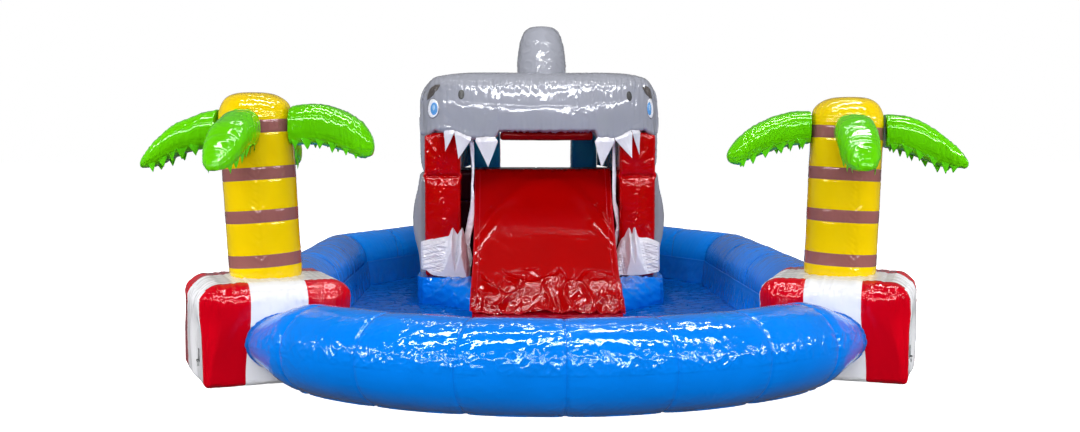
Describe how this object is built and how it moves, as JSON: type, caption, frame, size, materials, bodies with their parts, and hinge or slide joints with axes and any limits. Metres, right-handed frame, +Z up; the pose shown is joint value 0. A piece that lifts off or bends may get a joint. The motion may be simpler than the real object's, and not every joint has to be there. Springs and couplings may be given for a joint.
{
  "type": "water bounce house",
  "caption": "Air-blown paddling pool ring with corner palm trees and an animal-mouth slide house at the back, with climbing steps, anchor rings, drain, deflation zip and blower sleeve.",
  "frame": {"origin": "middle of the footprint, on the ground the pool floor lies on", "axes": "+Z up, +Y from the pool's front edge towards the slide house, +X to the right when looking along +Y"},
  "size_m": [6.2908, 9.534, 3.06],
  "materials": {
    "vinyl_blue": "gloss",
    "vinyl_blue_floor": "gloss",
    "vinyl_red": "gloss",
    "vinyl_white": "gloss",
    "vinyl_grey": "gloss",
    "vinyl_yellow": "gloss",
    "vinyl_green": "gloss",
    "vinyl_teal": "satin",
    "vinyl_maroon": "satin",
    "webbing_black": "matte",
    "ring_steel": "satin",
    "drain_plastic": "satin"
  },
  "bodies": {
    "house": {"front_tube": "vinyl_blue", "side_tube_left": "vinyl_blue", "side_tube_right": "vinyl_blue", "back_tube_left": "vinyl_blue", "back_tube_right": "vinyl_blue", "house_base_left": "vinyl_blue", "house_base_right": "vinyl_blue", "stairs": "vinyl_blue", "inflation_sleeve": "vinyl_blue", "pool_floor": "vinyl_blue_floor", "pool_liner": "vinyl_blue_floor", "corner_block_left": "vinyl_red", "corner_block_right": "vinyl_red", "slide_body": "vinyl_red", "slide_cover": "vinyl_red", "pillar_left": "vinyl_red", "pillar_right": "vinyl_red", "palate": "vinyl_red", "gum_left": "vinyl_white", "gum_right": "vinyl_white", "tooth_strip_left": "vinyl_white", "tooth_strip_right": "vinyl_white", "upper_jaw": "vinyl_grey", "head_canopy": "vinyl_grey", "side_wall_left": "vinyl_grey", "side_wall_right": "vinyl_grey", "dorsal_fin": "vinyl_grey", "palm_trunk_left": "vinyl_yellow", "palm_trunk_right": "vinyl_yellow", "palm_leaf_left_1": "vinyl_green", "palm_leaf_left_2": "vinyl_green", "palm_leaf_left_3": "vinyl_green", "palm_leaf_left_4": "vinyl_green", "palm_leaf_right_1": "vinyl_green", "palm_leaf_right_2": "vinyl_green", "palm_leaf_right_3": "vinyl_green", "palm_leaf_right_4": "vinyl_green", "rear_column_left": "vinyl_teal", "rear_column_right": "vinyl_teal", "platform": "vinyl_maroon", "cabin_lining": "vinyl_maroon", "anchor_strap_1": "webbing_black", "anchor_strap_2": "webbing_black", "anchor_strap_3": "webbing_black", "anchor_strap_4": "webbing_black", "zip_tape": "webbing_black", "drain_flange": "drain_plastic"},
    "tooth_upper_1": {"tooth_upper_1": "vinyl_white"},
    "tooth_upper_2": {"tooth_upper_2": "vinyl_white"},
    "tooth_upper_3": {"tooth_upper_3": "vinyl_white"},
    "tooth_upper_4": {"tooth_upper_4": "vinyl_white"},
    "tooth_upper_5": {"tooth_upper_5": "vinyl_white"},
    "tooth_upper_6": {"tooth_upper_6": "vinyl_white"},
    "anchor_ring_1": {"anchor_ring_1": "ring_steel"},
    "anchor_ring_2": {"anchor_ring_2": "ring_steel"},
    "anchor_ring_3": {"anchor_ring_3": "ring_steel"},
    "anchor_ring_4": {"anchor_ring_4": "ring_steel"},
    "zip_slider": {"zip_slider": "ring_steel"},
    "zip_flap": {"zip_flap": "vinyl_grey"},
    "drain_cap": {"drain_cap": "drain_plastic"}
  },
  "joints": [
    {"name": "tooth_1_seam", "type": "hinge", "parent": "house", "child": "tooth_upper_1", "pos_m": [-0.9606, 0.662, 1.83], "axis": [0.8494, -0.5239, -0.0635], "range_deg": [-50, 35]},
    {"name": "tooth_2_seam", "type": "hinge", "parent": "house", "child": "tooth_upper_2", "pos_m": [-0.8131, 0.582, 1.791], "axis": [0.8727, -0.3349, -0.3552], "range_deg": [-50, 35]},
    {"name": "tooth_3_seam", "type": "hinge", "parent": "house", "child": "tooth_upper_3", "pos_m": [-0.5591, 0.521, 1.745], "axis": [0.993, -0.1178, 0], "range_deg": [-50, 35]},
    {"name": "tooth_4_seam", "type": "hinge", "parent": "house", "child": "tooth_upper_4", "pos_m": [0.6784, 0.5245, 1.745], "axis": [0.987, 0.1607, 0], "range_deg": [-50, 35]},
    {"name": "tooth_5_seam", "type": "hinge", "parent": "house", "child": "tooth_upper_5", "pos_m": [0.8864, 0.5915, 1.791], "axis": [0.8745, 0.3545, 0.3309], "range_deg": [-50, 35]},
    {"name": "tooth_6_seam", "type": "hinge", "parent": "house", "child": "tooth_upper_6", "pos_m": [1.0289, 0.673, 1.83], "axis": [0.7892, 0.6099, 0.0717], "range_deg": [-50, 35]},
    {"name": "ring_1_swing", "type": "hinge", "parent": "house", "child": "anchor_ring_1", "pos_m": [-2.58991, -3.4327, 0.17], "axis": [-0.3584, 0.9336, 0], "range_deg": [0, 150]},
    {"name": "ring_2_swing", "type": "hinge", "parent": "house", "child": "anchor_ring_2", "pos_m": [2.61171, -3.4327, 0.17], "axis": [-0.3584, -0.9336, 0], "range_deg": [0, 150]},
    {"name": "ring_3_swing", "type": "hinge", "parent": "house", "child": "anchor_ring_3", "pos_m": [-1.2391, 4.228, 0.22], "axis": [1, 0, 0], "range_deg": [0, 150]},
    {"name": "ring_4_swing", "type": "hinge", "parent": "house", "child": "anchor_ring_4", "pos_m": [1.2609, 4.228, 0.52], "axis": [1, 0, 0], "range_deg": [0, 150]},
    {"name": "zip_pull", "type": "slide", "parent": "house", "child": "zip_slider", "axis": [0, 0, -1], "range_m": [0, 0.5]},
    {"name": "zip_flap_lift", "type": "hinge", "parent": "house", "child": "zip_flap", "pos_m": [-1.2391, 4.237, 1.095], "axis": [1, 0, 0], "range_deg": [0, 140]},
    {"name": "drain_cap_lift", "type": "slide", "parent": "house", "child": "drain_cap", "axis": [0, 0, 1], "range_m": [0, 0.06]}
  ]
}
